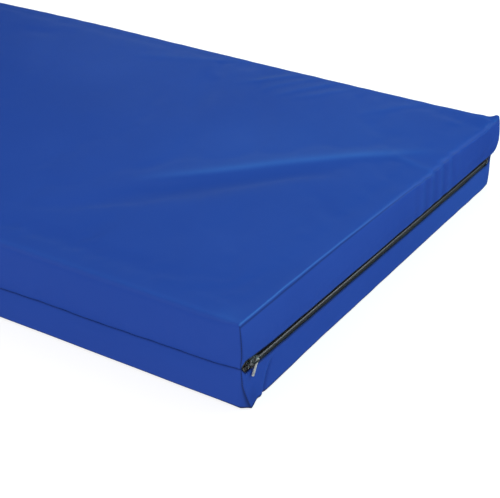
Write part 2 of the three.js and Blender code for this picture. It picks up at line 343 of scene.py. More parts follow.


# Folds of the landing face: (points in from the zipped end and the near side, width, height, lean, tone),
# metres; tone is how much painted highlight lies along a fold, or how much painted shade where it is
# negative.
TOP_FOLDS = (
    (
        (
            (-0.43, 0.300), (-0.40, 0.335), (-0.341, 0.391), (-0.289, 0.444), (-0.239, 0.501),
            (-0.186, 0.556), (-0.132, 0.610), (-0.076, 0.662), (-0.02, 0.716)
        ),
        0.022, 0.0030, 0.35, 0.62
    ),
    (
        (
            (-0.50, 0.13), (-0.40, 0.232), (-0.355, 0.288), (-0.30, 0.345), (-0.265, 0.400),
            (-0.217, 0.460), (-0.160, 0.528), (-0.105, 0.570)
        ),
        0.034, -0.0024, 0.0, -0.10
    ),
    (((0.030, 0.628), (-0.03, 0.640), (-0.09, 0.650)), 0.011, 0.0013, 0.2, 0.18),
    (((-0.80, 0.79), (-0.70, 0.83), (-0.56, 0.905)), 0.016, 0.0012, 0.3, 0.10),
    (((-0.52, 0.78), (-0.47, 0.84), (-0.425, 0.905)), 0.010, 0.0014, 0.3, 0.14),
    (((-0.46, 0.77), (-0.43, 0.83), (-0.385, 0.905)), 0.009, 0.0012, 0.3, 0.12),
    (((-0.42, 0.76), (-0.38, 0.83), (-0.340, 0.905)), 0.010, 0.0014, 0.3, 0.14),
    (((-0.38, 0.77), (-0.34, 0.82), (-0.290, 0.905)), 0.011, 0.0012, 0.3, 0.12),
    (((-0.23, 0.77), (-0.19, 0.83), (-0.14, 0.905)), 0.013, 0.0011, 0.3, 0.08),
    (((-0.66, 0.05), (-0.42, 0.07), (-0.18, 0.05)), 0.022, -0.0013, 0.0, 0.0),
    (((-1.40, 0.12), (-1.30, 0.40), (-1.33, 0.72)), 0.040, 0.0016, -0.2, 0.0),
    (((-1.74, 0.80), (-1.50, 0.66), (-1.20, 0.60)), 0.032, 0.0015, 0.2, 0.0),
)


def landing_face(x, y):
    """Height of the landing face over the foam: a low crown, broad soft waves that fade towards the edges,
    and the folds."""
    u, v = x / END, y / SIDE
    crown = 0.0022 * (1 - u**4) * (1 - v**4)
    inside = smoothstep(0, 0.10, SIDE - np.abs(y)) * smoothstep(0, 0.10, END - np.abs(x))
    broad = 0.0007 * soft_waves(x, y, 0.42, 11) + 0.00035 * soft_waves(x, y, 0.17, 12)
    rim = (1 - inside) * 0.00045 * soft_waves(x, y, 0.06, 13)
    folds = sum(
        crease(x - END, y + SIDE, line, width, height, lean)
        for line, width, height, lean, _ in TOP_FOLDS
    )
    return crown + broad * inside + rim + folds


def landing_tone(x, y):
    """Painted highlight and painted shade of the landing face: how much paler and how much darker it is
    painted along its folds, and a painted highlight along the rounded long edges."""
    # painted highlight along the rounded long edges
    pale = 0.13 * bell(SIDE - np.abs(y) - 0.0095, 0.0055)
    dark = np.zeros_like(pale)
    for line, width, _, lean, tone in TOP_FOLDS:
        if tone > 0:
            pale = pale + crease(x - END, y + SIDE, line, width * 0.52, tone, lean)
        elif tone < 0:
            dark = dark - crease(x - END, y + SIDE, line, width, tone, lean)
    # painted light on the vinyl above the long ridge
    _, side, share = from_line(x - END, y + SIDE, TOP_FOLDS[0][0])
    pale = (
        pale + 0.07 * smoothstep(0.0, 0.03, side) * (1 - smoothstep(0.06, 0.30, side))
        * smoothstep(0.0, 0.4, share) * smoothstep(0.0, 0.2, 1 - share)
    )
    # and a painted patch of light beside the closed corner of the zip
    pale = pale + 0.16 * bell(np.hypot(END - 0.030 - x, y + SIDE - 0.016), 0.022)
    return pale, dark


def seam_height(x, y):
    """Height of the seam between the covers on the two long sides and the back, from a table of its
    distance from the zipped end; over the zip, the middle of the slot."""
    back = (END - x) / COVER_TOP
    near = np.interp(
        back, [0, 0.27, 0.74, 1.52, 2.34, 3.2, 6, 10, 12.2],
        [0.490, 0.453, 0.443, 0.432, 0.419, 0.402, 0.398, 0.425, 0.45]
    )
    far = np.interp(
        back, [0, 0.2, 0.5, 1.2, 3.0, 7.0, 12.2], [0.530, 0.485, 0.455, 0.443, 0.446, 0.452, 0.45]
    )
    share = smoothstep(-SIDE, SIDE, y)
    return (near * (1 - share) + far * share) * COVER_TOP


def zip_height(y):
    """Middle of the chain: the CAD line, which falls evenly towards +Y."""
    return ZIP_MIDDLE + ZIP_FALL * np.asarray(y, float)


def slot_middle(y):
    """Middle of the slot: the chain's line, drawn up or down to the seams at the two corners."""
    near, far = y + SIDE, SIDE - y
    return (
        zip_height(y)
        + (0.494 * COVER_TOP - zip_height(-SIDE)) * np.exp(-near / 0.014)
        + (0.530 * COVER_TOP - zip_height(SIDE)) * np.exp(-far / 0.0045)
    )


def slot_half(y, upper):
    """Half height of the slot: closed at both corner seams, opening like a leaf to its full width, with a
    slightly uneven hem."""
    near, far = y + SIDE, SIDE - y
    open_near = 1 - np.exp(-((near / 0.0065) ** 1.3))
    open_far = 1 - np.exp(-((far / 0.0028) ** 1.5))
    uneven = 0.0004 * (1 + soft_waves(y, y * 0, 0.11, 21 if upper else 22))
    leaf = (0.0008 if upper else 0.0027) * bell(near - 0.0135, 0.0085)
    return 0.0002 + (sizes().slot_half + uneven + leaf) * np.minimum(open_near, open_far)


def lip_height(x, y, on_zip, upper):
    """Height of the cover's sewn or hemmed edge all the way round."""
    half = slot_half(y, upper)
    zipped = slot_middle(y) + (half if upper else -half)
    sewn = seam_height(x, y) + (0.0002 if upper else -0.0002)
    return np.where(on_zip, zipped, sewn)


def edge_radius(x, y, upper):
    """Radius of the soft box under a point: the long sides' one, the zipped end's one from crisp to slack
    along it, and the tight one at the upright corners."""
    s = sizes()
    dx, dy = END - np.abs(x), SIDE - np.abs(y)
    tiny = 0.002  # keeps the share defined where both distances are nothing
    at_end = (dy + tiny) / (dx + dy + 2 * tiny)
    along = smoothstep(0.15, 0.75, y + SIDE)
    zipped = s.crisp_edge + (s.slack_edge - s.crisp_edge) * along
    ends = np.where(x > 0, zipped, 0.009)
    r = s.long_edge + (ends - s.long_edge) * at_end if upper else np.full(np.shape(dx), 0.006)
    tight = bell(np.hypot(dx, dy), 0.028)
    return r + (s.corner - r) * tight


def end_push_upper(y, t):
    """Outward stand of the zipped end's upper band, t from 0 at the lip to 1 at the top fold."""
    near = y + SIDE
    top = np.interp(
        near, [0.006, 0.124, 0.30, 0.468, 0.564, 0.616, 0.66, 0.723, 0.80, 0.856, 0.91],
        [-0.0016, -0.0016, -0.0006, 0.0028, 0.0048, 0.0085, 0.0055, 0.0050, 0.0085, 0.0105, 0.0098],
    )
    lip = np.interp(
        near, [0, 0.03, 0.10, 0.45, 0.80, 0.89, 0.915], [0, 0.0020, 0.0046, 0.0060, 0.0056, 0.0048, 0.0044]
    )
    belly = 0.0022 * 4 * t * (1 - t)
    folds = (
        0.0019 * np.sin(near / 0.0062 + 1.3 * t) * smoothstep(0.54, 0.62, near)
        * (1 - smoothstep(0.68, 0.80, near)) * (0.30 + 0.70 * t)
    )
    return lip * (1 - t) + top * t**1.4 + belly + folds


def corner_fold(near, down):
    """The slanting fold of the lower band beside the closed corner, from its distances along the band and
    down from the lip: relief, and its painted highlight and painted shade."""
    line = ((0.094, 0.006), (0.074, 0.021), (0.065, 0.031), (0.056, 0.048), (0.047, 0.065))
    far, side, share = from_line(near, down, line)
    shown = smoothstep(0.0, 0.45, share) * bell(far, 0.018)
    hollow, crest = bell(side + 0.0030, 0.0042) * shown, bell(side - 0.0045, 0.0042) * shown
    # painted highlight on the fold's crest, painted shade in its hollow
    pale, dark = 0.40 * bell(side - 0.0030, 0.0028) * shown, 0.45 * hollow
    return 0.0026 * crest - 0.0034 * hollow, pale, dark


def end_push_lower(y, t):
    """Outward stand of the zipped end's lower band, t from 0 at the lip to 1 at the floor."""
    near = y + SIDE
    foot = np.interp(
        near, [0, 0.11, 0.139, 0.172, 0.24, 0.38, 0.53, 0.70, 0.88, 0.915],
        [0.0080, 0.0078, 0.0070, 0.0062, 0.0048, 0.0048, 0.0040, 0.0034, 0.0036, 0.0010],
    )
    lip = np.interp(near, [0, 0.03, 0.10, 0.45, 0.80, 0.915], [0, 0.0012, 0.0022, 0.0030, 0.0026, 0.0004])
    belly = 0.0012 * 4 * t * (1 - t)
    return lip * (1 - t) ** 1.5 + foot * t**1.8 + belly + corner_fold(near, t * 0.062)[0]


def sewn_side(s, z, t, gap, corner):
    """Stand of a sewn side: a soft belly between seam and fold, drawn in at the seam, with short puckers.
    s runs round the cover, t is the share of the way from seam to fold, and gap and corner are the distances
    from the seam and from the upright corner."""
    belly = 0.0026 * 4 * t * (1 - t) + 0.0009 * soft_waves(s, z * 1.5, 0.26, 31)
    drawn = -0.0020 * np.exp(-gap / 0.007)
    pucker = 0.00055 * soft_waves(s, z * 0.25, 0.034, 32) * np.exp(-gap / 0.016)
    return (belly + drawn + pucker) * smoothstep(0, 0.03, corner) ** 0.5


def folded_end_rise(x, y, flat):
    """How far the landing face rises or dips where it meets the zipped end."""
    rise = np.interp(
        y + SIDE, [0, 0.12, 0.3, 0.5, 0.62, 0.75, 0.86, 0.905, 0.915],
        [0.0022, 0.0030, 0.0012, -0.0010, -0.0042, -0.0018, -0.0050, 0.0015, 0.0045],
    )
    return rise * fading(END - x, 0.030) * smoothstep(0.0, 0.75, flat)


def far_edge_stand(x, y, t):
    """Outward stand of the slightly uneven far long edge."""
    stand = np.interp(
        x - END, [-1.83, -1.27, -1.10, -0.93, -0.59, -0.30, -0.05, -0.009, 0.0],
        [0, -0.004, 0.004, 0.005, -0.001, -0.002, 0.0012, -0.002, 0.0025],
    )
    return stand * fading(SIDE - y, 0.03) * np.clip(0.4 + 0.6 * t, 0, 1)


def foot_kick(x, y, z, r, on_zip, hold):
    """Moves along x and y of the loose lower corner at the closed end of the zip: its foot kicks out in a
    straight line, and a small facet turns the corner."""
    kick = np.clip((0.30 * COVER_TOP - z) / (0.30 * COVER_TOP), 0, 1) ** 1.05
    near = y + SIDE
    beside = np.where(z < 1e-9, fading(END - r - x, 0.004), np.clip(1 - (END - x) / 0.0036, 0, 1))
    stand = np.interp(
        near, [0, 0.005, 0.010, 0.015, 0.020, 0.025, 0.030, 0.038, 0.046],
        [0.0147, 0.0143, 0.0138, 0.0130, 0.0121, 0.0110, 0.0098, 0.0084, 0.0080],
    )
    here = (near < 0.046) * np.where(on_zip, 1.0, beside)
    return kick * here * (stand - 0.0080 * hold), 0.0097 * kick * here * fading(near, 0.016)


def seam_waver(x, y, z, on_zip, upright):
    """How far the upright seam at the closed end wavers outwards."""
    waver = np.interp(
        z / COVER_TOP, [0, 0.2, 0.32, 0.45, 0.53, 0.65, 0.80, 0.95, 1.0],
        [0, 0.0010, 0.0030, 0.0022, 0.0008, 0.0028, 0.0018, 0.0004, 0],
    )
    beside = fading(END - x, 0.008) * fading(y + SIDE, 0.008) * upright
    return waver * np.where(on_zip, fading(y + SIDE, 0.011), beside)


def slack_corner(x, y, z, on_zip):
    """How far the slack upright corner at the open end of the zip bellies out past the foam, over a shorter
    reach at the height of the lips."""
    slack = np.interp(
        z / COVER_TOP, [0, 0.075, 0.2, 0.37, 0.43, 0.50, 0.56, 0.69, 0.83, 0.97, 1.0],
        [0.0, 0.0015, 0.0025, 0.0032, 0.0036, 0.0070, 0.0105, 0.0125, 0.0105, 0.0070, 0.0055],
    )
    along = 0.026 - 0.013 * bell(z / COVER_TOP - 0.50, 0.10)
    beside = fading(END - x, 0.012) * fading(SIDE - y, 0.010)
    return slack * np.where(on_zip, fading(SIDE - y, along), beside)


def corner_ear(x, y, flat):
    """Rise of the slack corner's tip: a small ear, with a nick beside it."""
    away = np.hypot(END - x, SIDE - y)
    ear = 0.0042 * bell(away, 0.006) - 0.0026 * bell(away - 0.014, 0.007)
    return ear * flat * (y > 0) * (x > 0)


def drape(x, y, z, upper, lip=None):
    """Puts points of the sharp box on the soft cover.
    The box is rounded first: q is the point clamped into the box drawn in by the radius r, and the surface
    is q + r n, with n the unit vector from q to the point.
    Then the sewn sides move along n, and the faces, the zipped end and the corners by the moves above."""
    x, y, z = np.broadcast_arrays(*(np.asarray(v, float) for v in (x, y, z)))
    r = edge_radius(x, y, upper)
    qx, qy = np.clip(x, -END + r, END - r), np.clip(y, -SIDE + r, SIDE - r)
    qz = np.minimum(z, COVER_TOP - r) if upper else np.maximum(z, r)
    n = np.stack([x - qx, y - qy, z - qz], axis=-1)
    n /= np.maximum(np.linalg.norm(n, axis=-1), 1e-9)[..., None]
    p = np.stack([qx, qy, qz], axis=-1) + r[..., None] * n
    nx, ny, nz = n[..., 0], n[..., 1], n[..., 2]
    on_zip = x > END - 1e-6
    if lip is None:
        lip = lip_height(x, y, on_zip, upper)
    if upper:
        t = np.clip((z - lip) / (COVER_TOP - lip), 0, 1)
    else:
        t = np.clip((lip - z) / lip, 0, 1)
    flat = np.clip(np.abs(nz), 0, 1)
    upright = np.clip(1 - nz**2, 0, 1)
    s = x + y
    gap = t * np.where(upper, COVER_TOP - lip, lip)
    toward_zip = np.clip(nx, 0, 1) ** 2 / np.maximum(nx**2 + ny**2, 1e-9)
    # how fully a point follows the zipped end: all the way on it and round its folds, less along the faces
    hold = fading(END - r - x, 0.020 if upper else 0.012) * (flat**2 + upright * toward_zip**1.5)
    side = sewn_side(s, z, t, gap, np.hypot(END - np.abs(x), SIDE - np.abs(y)))
    p += n * (side * (1 - toward_zip) * upright)[..., None]
    push = end_push_upper(y, t) if upper else end_push_lower(y, t)
    p[..., 0] += (push + 0.00025 * soft_waves(s, z * 0.4, 0.05, 33)) * hold
    if upper:
        p[..., 2] += landing_face(x, y) * flat
        p[..., 2] += folded_end_rise(x, y, flat)
        p[..., 1] += far_edge_stand(x, y, t)
    else:
        p[..., 2] = np.maximum(p[..., 2], 0.0)
        kick_x, kick_y = foot_kick(x, y, z, r, on_zip, hold)
        p[..., 0] += kick_x
        p[..., 1] += kick_y
    p[..., 0] += seam_waver(x, y, z, on_zip, upright)
    p[..., 0] += slack_corner(x, y, z, on_zip)
    if upper:
        p[..., 2] += corner_ear(x, y, flat)
    return p, n


def ring_of(columns, rows):
    """Numbers of the edge points of a columns x rows grid, once round, counter-clockwise from the first."""
    i, j = np.arange(columns), np.arange(rows)
    return np.concatenate([
        i[:-1] * rows,
        (columns - 1) * rows + j[:-1],
        i[:0:-1] * rows + rows - 1,
        j[:0:-1],
    ])


# Grid lines beside an edge, and the first rows down a side: distances from the edge.
RIM = np.array([0, 0.9, 1.9, 3.2, 4.8, 6.8, 9.5, 13, 17.5, 23.5, 31]) * MM
FOLD_ROWS = RIM[1:9]
# The other rows down a side, as shares of the way from the last of those to the lip.
SIDE_SHARES = np.array([0.12, 0.25, 0.38, 0.51, 0.63, 0.73, 0.81, 0.87, 0.92, 0.955, 0.98, 1.0])
ROLL_TURNS = np.radians([30, 60, 90])
# Behind the roll: depth and rise of an allowance's rows, in metres, and of a hem's, in radii of the roll.
ALLOWANCE_ROWS = ((0.0028, 0.0009), (0.0045, 0.0009), (0.0065, 0.0009), (0.009, 0.0009))
HEM_ROWS = ((1.75, 0.6), (2.0, 0.0), (2.0, -3.0), (2.0, -8.0))


class CoverSheet:
    """The upper or lower cover as one sheet: its face is a grid, and each round of the grid's edge points
    goes on down its sides to the lip, and in behind it.
    Behind a seam the sheet rolls in as an allowance; along the zip it turns back on itself as a hem."""

    def __init__(self, upper):
        self.upper = upper
        if upper:
            xs = -grid_lines(END, RIM, 0.018, (0.62, 0.0065))[::-1]
            ys = grid_lines(SIDE, RIM, 0.0075)
        else:
            xs = grid_lines(END, RIM, 0.019)
            ys = grid_lines(SIDE, RIM, 0.0105, (0.130, 0.0032))
        self.gx, self.gy = np.meshgrid(xs, ys, indexing="ij")
        self.from_edge = np.minimum(END - np.abs(self.gx), SIDE - np.abs(self.gy))
        self.ring = ring_of(len(xs), len(ys))
        self.bx, self.by = self.gx.ravel()[self.ring], self.gy.ravel()[self.ring]
        self.on_zip = self.bx > END - 1e-6
        lip = lip_height(self.bx, self.by, self.on_zip, upper)
        roll = np.where(self.on_zip, 0.0011, 0.0009)
        height = (COVER_TOP - lip if upper else lip) - roll
        over_fold = np.tile(FOLD_ROWS[:, None], (1, len(self.ring)))
        down_side = FOLD_ROWS[-1] + (height - FOLD_ROWS[-1]) * SIDE_SHARES[:, None]
        depth = np.concatenate([over_fold, down_side])
        face_z = COVER_TOP if upper else 0.0
        face, _ = drape(self.gx, self.gy, np.full_like(self.gx, face_z), upper)
        x, y, lips = (np.tile(v, (len(depth), 1)) for v in (self.bx, self.by, lip))
        sides, _ = drape(x, y, face_z - depth if upper else depth, upper, lips)
        behind = self.turned_in(sides[-1], roll)
        self.points = np.concatenate([face.reshape(-1, 3), sides.reshape(-1, 3), np.concatenate(behind)])
        self.behind_count = len(behind) * len(self.ring)
        self.depth = np.concatenate([depth, np.tile(height, (len(behind), 1))])
        self.to_lip = np.maximum(height[None] - self.depth, 0)
        from_corner = np.hypot(END - np.abs(self.bx), SIDE - np.abs(self.by))
        self.from_corner = np.minimum(from_corner, 1.0)

    def turned_in(self, lip_row, roll):
        """The rows behind the lip: a quarter roll, and then the allowance or the hem."""
        hem = smoothstep(0.002, 0.010, np.minimum(self.by + SIDE, SIDE - self.by)) * self.on_zip
        rows = [(roll * (1 - math.cos(turn)), roll * math.sin(turn)) for turn in ROLL_TURNS]
        for (a, b), (c, d) in zip(ALLOWANCE_ROWS, HEM_ROWS):
            rows.append((a + (c * roll - a) * hem, b + (d * roll - b) * hem))
        behind = []
        for deep, fall in rows:
            row = lip_row.copy()
            row[:, 0] *= (END - deep) / END
            row[:, 1] *= (SIDE - deep) / SIDE
            row[:, 2] += (-1 if self.upper else 1) * fall
            behind.append(row)
        return behind

    def quads(self):
        """The face's quads, and those of the walls between one round of points and the next."""
        count = self.gx.size
        below = count + np.arange(len(self.points) - count).reshape(-1, len(self.ring))
        levels = np.concatenate([self.ring[None], below])
        a, b = levels[:-1], levels[1:]
        walls = np.stack([b, np.roll(b, -1, axis=1), np.roll(a, -1, axis=1), a], axis=-1).reshape(-1, 4)
        face = lattice_faces(*self.gx.shape, flip=self.upper)
        return [face, walls if self.upper else walls[:, ::-1]]

    def seam_line(self):
        """How close each point is to a dark line: the dark seams, and painted shade along the zip's hems,
        under the crisp fold and along the foot.
        """
        at_corner = 0.75 * bell(self.from_corner, 0.0013)
        # dark seams along the sewn lips; painted shade along the zip's hems
        at_lip = np.where(self.on_zip, 0.70, 0.35) * bell(self.to_lip, 0.0008)
        line = np.maximum(at_lip, at_corner[None])
        if self.upper:
            # painted shade just under the crisp fold of the zipped end
            fold = np.where(self.on_zip, 0.62 - 0.40 * smoothstep(0.2, 0.8, self.by + SIDE), 0)
            line = np.maximum(line, fold * bell(self.depth - 0.0033, 0.0011))
            face_line = np.zeros(self.gx.size)
            face_line[self.ring] = at_corner
        else:
            # painted shadow along the foot, up the walls and in on the underside
            line = np.maximum(line, 0.97 * (1 - smoothstep(0.0022, 0.0060, self.depth)))
            face_line = 0.97 * bell(self.from_edge, 0.006).ravel()
        return np.concatenate([face_line, line.ravel()])

    def edge_wear(self):
        """How worn each point is, from its distance to the nearest edge."""
        return np.concatenate([np.exp(-d / 0.006).ravel() for d in (self.from_edge, self.depth)])

    def tones(self):
        """Painted highlights and painted shade: how much paler the vinyl is painted over folds, edges and
        hems, and how much darker in hollows.
        """
        near = np.tile(self.by + SIDE, (len(self.depth), 1))
        if self.upper:
            pale, dark = landing_tone(self.gx, self.gy)
            # painted highlight along the crisp fold of the zipped end
            crisp = 1 - smoothstep(0.05, 0.75, self.gy + SIDE)
            pale = pale + crisp * bell(END - self.gx - 0.0006, 0.0017)
            crisp = np.where(self.on_zip, 1 - smoothstep(0.05, 0.75, self.by + SIDE), 0)
            pleats = (
                np.sin(near / 0.0062) * smoothstep(0.54, 0.62, near) * (1 - smoothstep(0.68, 0.80, near))
                * self.on_zip
            )
            # painted highlights along the crisp fold, on the pleats' crests and along the upper hem just
            # above the slot; painted shade in the pleats' hollows
            side_pale = (
                crisp * bell(self.depth, 0.0010) + 0.12 * np.clip(pleats, 0, 1)
                + 0.22 * bell(self.to_lip - 0.0024, 0.0013) * self.on_zip
            )
            side_dark = 0.16 * np.clip(-pleats, 0, 1)
        else:
            pale = dark = np.zeros_like(self.gx)
            _, side_pale, side_dark = corner_fold(near, self.to_lip)
            # painted light on the lower band, growing towards the far, slack corner
            side_pale = (side_pale + 0.16 * smoothstep(0.35, 0.88, near)) * self.on_zip
            # painted shade on the kick beside the closed corner
            shaded = 0.30 * bell(near - 0.018, 0.016) * smoothstep(0.020, 0.050, self.to_lip)
            side_dark = (side_dark + shaded) * self.on_zip
        pairs = (pale, side_pale), (dark, side_dark)
        return [np.concatenate([face.ravel(), side.ravel()]) for face, side in pairs]

    def held(self):
        """How firmly each point is held as the cover settles: fully at seams, hems and upright corners and
        behind the lip, and nearly so beside a fold."""
        from_seam = np.minimum(self.to_lip, self.from_corner[None]).ravel()
        held = 1 - smoothstep(0.0, 0.018, np.concatenate([np.ones(self.gx.size), from_seam]))
        held[-self.behind_count:] = 1
        away = np.hypot(END - np.abs(self.points[:, 0]), SIDE - np.abs(self.points[:, 1]))
        held = np.maximum(held, 1 - smoothstep(0.005, 0.05, away))
        from_fold = np.concatenate([self.from_edge.ravel(), self.depth.ravel()])
        beside_fold = (1 - smoothstep(0.012, 0.060, from_fold)) * (0.9 if self.upper else 1.0)
        return np.maximum(held, beside_fold)


def cover(upper):
    """The upper or lower cover, settled over its core."""
    sheet = CoverSheet(upper)
    pale, dark = sheet.tones()
    layers = {
        "seam_line": sheet.seam_line(), "edge_wear": sheet.edge_wear(),
        # painted highlights and painted shade over the folds
        "fold_stretch": pale, "fold_hollow": dark,
    }
    name = "cover_upper" if upper else "cover_lower"
    piece = new_piece(name, sheet.points, sheet.quads(), material_vinyl(), layers)
    return settle(piece, sheet.held(), 0.35 if upper else 0.15)


def settle(piece, held, pressure):
    """Lets a cover relax as cloth over its core: a little pressure from the foam and a trace of slack, with
    the seams held.
    Each point then keeps its move d, drawn in smoothly to cap tanh(|d| / cap) along d, with SETTLE_CAP as
    cap, and less where it is held. The same every run, as cloth draws nothing at random."""
    scene, mesh = bpy.context.scene, piece.data
    start = np.empty(len(mesh.vertices) * 3)
    mesh.vertices.foreach_get("co", start)
    start = start.reshape(-1, 3)
    group = piece.vertex_groups.new(name="held")
    level = np.round(held * 10).astype(int)
    for k in range(1, 11):
        group.add(np.flatnonzero(level == k).tolist(), k / 10, "REPLACE")
    cloth = piece.modifiers.new("Cloth", "CLOTH")
    s = cloth.settings
    s.quality, s.mass, s.air_damping = 4, 0.25, 2.0
    s.tension_stiffness = s.compression_stiffness = 12
    s.shear_stiffness, s.bending_stiffness = 4, 1.5
    s.vertex_group_mass, s.pin_stiffness = "held", 1.0
    s.use_pressure, s.uniform_pressure_force = True, pressure
    s.shrink_min = -0.002
    s.effector_weights.gravity = 0
    cloth.point_cache.frame_start, cloth.point_cache.frame_end = 1, SETTLE_FRAMES
    for number in range(1, SETTLE_FRAMES + 1):
        scene.frame_set(number)
    eased = piece.evaluated_get(bpy.context.evaluated_depsgraph_get()).data
    ended = np.empty(len(start) * 3)
    eased.vertices.foreach_get("co", ended)
    move = ended.reshape(-1, 3) - start
    far = np.maximum(np.linalg.norm(move, axis=1), 1e-9)
    if not np.isfinite(far).all() or far.max() > 0.2:
        raise RuntimeError(f"{piece.name} did not settle")
    move *= (SETTLE_CAP * np.tanh(far / SETTLE_CAP) / far * (1 - held))[:, None]
    piece.modifiers.remove(cloth)
    piece.vertex_groups.remove(group)
    mesh.vertices.foreach_set("co", (start + move).ravel())
    mesh.update()
    scene.frame_set(1)
    return piece


def thicken(piece, thickness):
    """Gives a sheet its thickness, inwards, with its rim closed."""
    wall = piece.modifiers.new("Thickness", "SOLIDIFY")
    wall.thickness = thickness
    wall.offset = -1
    wall.use_rim = True
    return piece


# ---------------------------------------------------------------- materials


class Socket:
    """An output socket that takes arithmetic: each operator adds a Math node to its finish's tree."""

    def __init__(self, finish, socket):
        self.finish, self.socket = finish, socket

    def _math(self, operation, *values):
        return self.finish.node("ShaderNodeMath", {"operation": operation}, dict(enumerate(values)))

    def __add__(self, other):
        return self._math("ADD", self, other)

    def __sub__(self, other):
        return self._math("SUBTRACT", self, other)

    def __rsub__(self, other):
        return self._math("SUBTRACT", other, self)

    def __mul__(self, other):
        return self._math("MULTIPLY", self, other)

    __radd__, __rmul__ = __add__, __mul__

    def sine(self):
        return self._math("SINE", self)


class Finish:
    """A material whose Principled shader takes constants by name, and links for what changes over the
    surface."""

    def __init__(self, name, **constants):
        self.material = bpy.data.materials.new(name)
        self.material.use_nodes = True
        self.tree = self.material.node_tree
        self.tree.nodes.clear()
        self.shader = self.tree.nodes.new("ShaderNodeBsdfPrincipled")
        output = self.tree.nodes.new("ShaderNodeOutputMaterial")
        self.tree.links.new(self.shader.outputs[0], output.inputs["Surface"])
        for key, value in constants.items():
            self.shader.inputs[key.replace("_", " ")].default_value = value

    def node(self, kind, settings=None, inputs=None, output=0):
        """Adds a node: its settings first, a ramp's stops among them, and then the values or links of its
        sockets."""
        made = self.tree.nodes.new(kind)
        for key, value in (settings or {}).items():
            if key == "stops":
                ramp = made.color_ramp
                while len(ramp.elements) > 1:
                    ramp.elements.remove(ramp.elements[-1])
                ramp.elements[0].position, ramp.elements[0].color = value[0]
                for position, colour in value[1:]:
                    ramp.elements.new(position).color = colour
            else:
                setattr(made, key, value)
        for key, value in (inputs or {}).items():
            self.feed(made.inputs[key], value)
        return Socket(self, made.outputs[output])

    def feed(self, socket, value):
        """Links a socket to another one, or sets its value."""
        if isinstance(value, Socket):
            self.tree.links.new(value.socket, socket)
        else:
            socket.default_value = value

    def set(self, **inputs):
        """Feeds the shader's sockets by name, and gives the material."""
        for key, value in inputs.items():
            self.feed(self.shader.inputs[key.replace("_", " ")], value)
        return self.material

    def place(self, scale=(1, 1, 1), turn=(0, 0, 0)):
        """Object coordinates through a Mapping node."""
        where = self.node("ShaderNodeTexCoord", output="Object")
        return self.node("ShaderNodeMapping", None, {"Vector": where, "Scale": scale, "Rotation": turn})

    def noise(self, where, scale, detail=2.0, roughness=0.5):
        return self.node(
            "ShaderNodeTexNoise", None,
            {"Vector": where, "Scale": scale, "Detail": detail, "Roughness": roughness},
        )

    def cells(self, where, scale, feature="F1"):
        return self.node("ShaderNodeTexVoronoi", {"feature": feature}, {"Vector": where, "Scale": scale})

    def layer(self, name, output="Fac"):
        """A point attribute of the mesh."""
        return self.node("ShaderNodeAttribute", {"attribute_name": name}, output=output)

    def mix(self, share, first, second):
        return self.node(
            "ShaderNodeMix", {"data_type": "RGBA"}, {0: share, 6: first, 7: second}, output=2
        )

    def ramp(self, value, *stops):
        return self.node("ShaderNodeValToRGB", {"stops": stops}, {0: value})

    def bump(self, height, distance, strength):
        inputs = {"Height": height, "Distance": distance, "Strength": strength}
        return self.node("ShaderNodeBump", None, inputs)


def shade(colour, factor, tint=(1, 1, 1)):
    """A colour scaled and tinted, with full alpha."""
    return tuple(min(1.0, c * factor * t) for c, t in zip(colour, tint)) + (1.0,)


def once(make):
    """Keeps one copy of each material, named for its function."""

    def kept():
        name = make.__name__.replace("material_", "") + "_finish"
        found = bpy.data.materials.get(name)
        return found or make(name)

    return kept


@once
def material_vinyl(name):
    """Satin coated vinyl: a fine leather grain, the ghost of the woven backing, uneven gloss, darker seam
    lines with painted shade along hems, folds and the foot, paler worn edges, and painted highlights and
    painted shade along folds."""
    base = colours().vinyl
    f = Finish(name, IOR=1.5, Specular_IOR_Level=0.16)
    where = f.place()
    broad = f.noise(where, 3.2, 3.0)
    fine = f.noise(where, 38.0, 4.0, 0.6)
    grain = f.cells(where, 1150.0, "SMOOTH_F1")
    pebble = f.noise(where, 620.0, 2.0)
    tone = f.mix(broad, shade(base, 0.90, (0.94, 0.97, 1)), shade(base, 1.10, (1.05, 1.04, 1)))
    seam = f.layer("seam_line")
    wear = f.layer("edge_wear")
    scuff = wear * f.noise(where, 95.0, 5.0, 0.7)
    # dark seams, and painted shade along the hems, under the crisp fold and along the foot
    tone = f.mix(seam, tone, shade(base, 0.12))
    tone = f.mix(scuff * 0.16, tone, shade(base, 1.9, (1.3, 1.1, 0.9)))
    # painted highlights, then painted shade, from the mesh's layers
    tone = f.mix(f.layer("fold_stretch") * 0.55, tone, shade(base, 1.7, (2.0, 1.85, 1.0)))
    tone = f.mix(f.layer("fold_hollow"), tone, shade(base, 0.45, (0.9, 0.75, 1)))
    threads = f.place((1, 1, 1), (0, 0, math.radians(0.5)))
    warp = f.node("ShaderNodeTexWave", {"bands_direction": "X"}, {"Vector": threads, "Scale": 260.0})
    weft = f.node("ShaderNodeTexWave", {"bands_direction": "Y"}, {"Vector": threads, "Scale": 260.0})
    relief = grain * 0.55 + pebble * 0.5 + (warp + weft) * 0.10
    gloss = 0.36 + broad * 0.08 + fine * 0.06 + scuff * 0.12 - grain * 0.03
    return f.set(Base_Color=tone, Roughness=gloss, Normal=f.bump(relief, 0.00016, 0.9))


